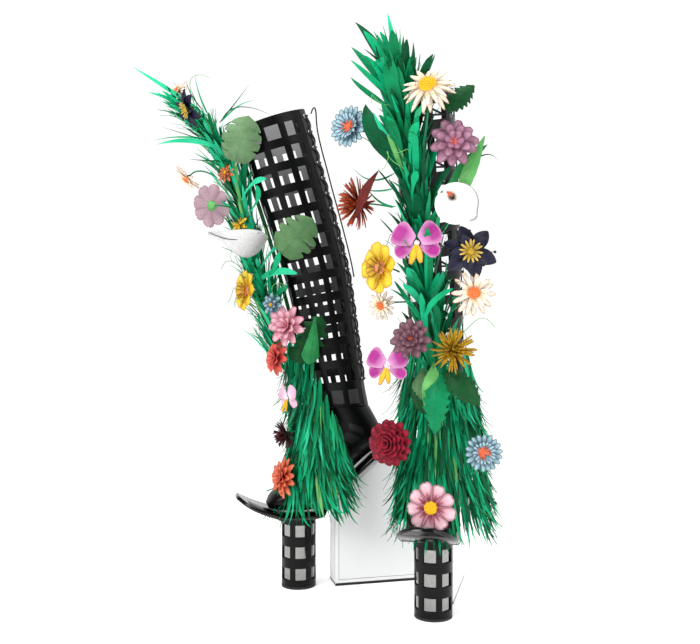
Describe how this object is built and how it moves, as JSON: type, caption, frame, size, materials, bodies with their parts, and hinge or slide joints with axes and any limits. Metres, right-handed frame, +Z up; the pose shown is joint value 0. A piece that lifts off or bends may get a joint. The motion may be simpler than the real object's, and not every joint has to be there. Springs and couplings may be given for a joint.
{
  "type": "pair of thigh boots with leather flowers",
  "caption": "Pair of tall lace-up lattice leather boots on a post and a pale panelled block, covered with leather grass, leaves and wired leather flowers.",
  "frame": {"origin": "centre of the pair's footprint, on the floor", "axes": "+Z up, +X from the left boot towards the right boot as seen from the front, -Y towards the front"},
  "size_m": [0.62, 0.4328, 0.9095],
  "materials": {
    "leather": "satin black calf",
    "patent": "glossy black patent",
    "mirror": "polished mirror",
    "panel": "pale satin sheet",
    "steel": "brushed",
    "footbed": "lining leather",
    "block_board": "raw board",
    "rubber": "matte sheet rubber",
    "cord": "waxed cord",
    "stem_wire": "leather wrapped wire",
    "grass": "dyed nappa",
    "petal_navy": "dyed nappa",
    "petal_pink": "dyed nappa",
    "petal_white": "dyed nappa",
    "petal_yellow": "dyed nappa",
    "petal_lilac": "dyed nappa",
    "petal_coral": "dyed nappa",
    "petal_cream": "dyed nappa",
    "petal_blue": "dyed nappa",
    "petal_red": "dyed nappa",
    "petal_magenta": "dyed nappa"
  },
  "bodies": {
    "left_boot": {"left_block_base": "patent", "left_block_core": "block_board", "left_facing_left": "leather", "left_facing_right": "leather", "left_footbed": "footbed", "left_garland_spine": "stem_wire", "left_grass_plume": "grass", "left_grass_skirt": "grass", "left_lace": "cord", "left_lace_end": "cord", "left_orange_dahlia": "petal_coral", "left_panel_back": "panel", "left_panel_front": "panel", "left_panel_left": "panel", "left_panel_right": "panel", "left_pink_dahlia": "petal_pink", "left_post_bolt": "steel", "left_post_core": "mirror", "left_post_sleeve": "leather", "left_post_tread": "rubber", "left_shaft": "leather", "left_shank": "steel", "left_sole_plate": "patent", "left_upper": "leather", "left_yellow_flower": "petal_yellow"},
    "right_boot": {"right_block_base": "patent", "right_block_core": "block_board", "right_calla": "petal_white", "right_cream_daisy": "petal_cream", "right_facing_left": "leather", "right_facing_right": "leather", "right_footbed": "footbed", "right_garland_spine": "stem_wire", "right_grass_plume": "grass", "right_grass_skirt": "grass", "right_lace": "cord", "right_lilac_dahlia": "petal_lilac", "right_magenta_orchid": "petal_magenta", "right_navy_flower": "petal_navy", "right_panel_back": "panel", "right_panel_front": "panel", "right_panel_left": "panel", "right_panel_right": "panel", "right_post_bolt": "steel", "right_post_core": "mirror", "right_post_sleeve": "leather", "right_post_tread": "rubber", "right_shaft": "leather", "right_shank": "steel", "right_sole_plate": "patent", "right_upper": "leather", "right_yellow_flower": "petal_yellow"},
    "left_calla": {"left_calla": "petal_white"},
    "left_navy_flower": {"left_navy_flower": "petal_navy"},
    "left_orchid": {"left_orchid": "petal_lilac"},
    "left_pink_cosmos": {"left_pink_cosmos": "petal_pink"},
    "right_blue_daisy": {"right_blue_daisy": "petal_blue"},
    "right_low_orchid": {"right_low_orchid": "petal_magenta"},
    "right_red_dahlia": {"right_red_dahlia": "petal_red"},
    "right_red_flower": {"right_red_flower": "petal_red"}
  },
  "joints": [
    {"name": "right_boot_apart", "type": "slide", "parent": "left_boot", "child": "right_boot", "axis": [1, 0, 0], "range_m": [0, 0.12]},
    {"name": "left_navy_flower_bend", "type": "hinge", "parent": "left_boot", "child": "left_navy_flower", "pos_m": [-0.20444, 0.06765, 0.795], "axis": [-0.9594, 0.282, 0], "range_deg": [-12, 12]},
    {"name": "left_pink_cosmos_bend", "type": "hinge", "parent": "left_boot", "child": "left_pink_cosmos", "pos_m": [-0.14224, 0.08269, 0.665], "axis": [-0.5144, 0.8576, 0], "range_deg": [-15, 15]},
    {"name": "left_calla_bend", "type": "hinge", "parent": "left_boot", "child": "left_calla", "pos_m": [-0.10195, 0.08627, 0.59], "axis": [-0.5658, 0.8246, 0], "range_deg": [-15, 15]},
    {"name": "left_orchid_bend", "type": "hinge", "parent": "left_boot", "child": "left_orchid", "pos_m": [-0.03115, 0.08282, 0.33], "axis": [-0.7908, 0.6121, 0], "range_deg": [-12, 12]},
    {"name": "right_blue_daisy_bend", "type": "hinge", "parent": "right_boot", "child": "right_blue_daisy", "pos_m": [0.10127, -0.14339, 0.742], "axis": [0.4379, 0.899, 0], "range_deg": [-15, 15]},
    {"name": "right_red_flower_bend", "type": "hinge", "parent": "right_boot", "child": "right_red_flower", "pos_m": [0.1193, -0.11288, 0.64], "axis": [0.3799, 0.925, 0], "range_deg": [-15, 15]},
    {"name": "right_low_orchid_bend", "type": "hinge", "parent": "right_boot", "child": "right_low_orchid", "pos_m": [0.1471, -0.06008, 0.432], "axis": [-0.6564, 0.7545, 0], "range_deg": [-15, 15]},
    {"name": "right_red_dahlia_bend", "type": "hinge", "parent": "right_boot", "child": "right_red_dahlia", "pos_m": [0.14918, -0.0111, 0.3], "axis": [-0.8532, 0.5216, 0], "range_deg": [-12, 12]}
  ]
}
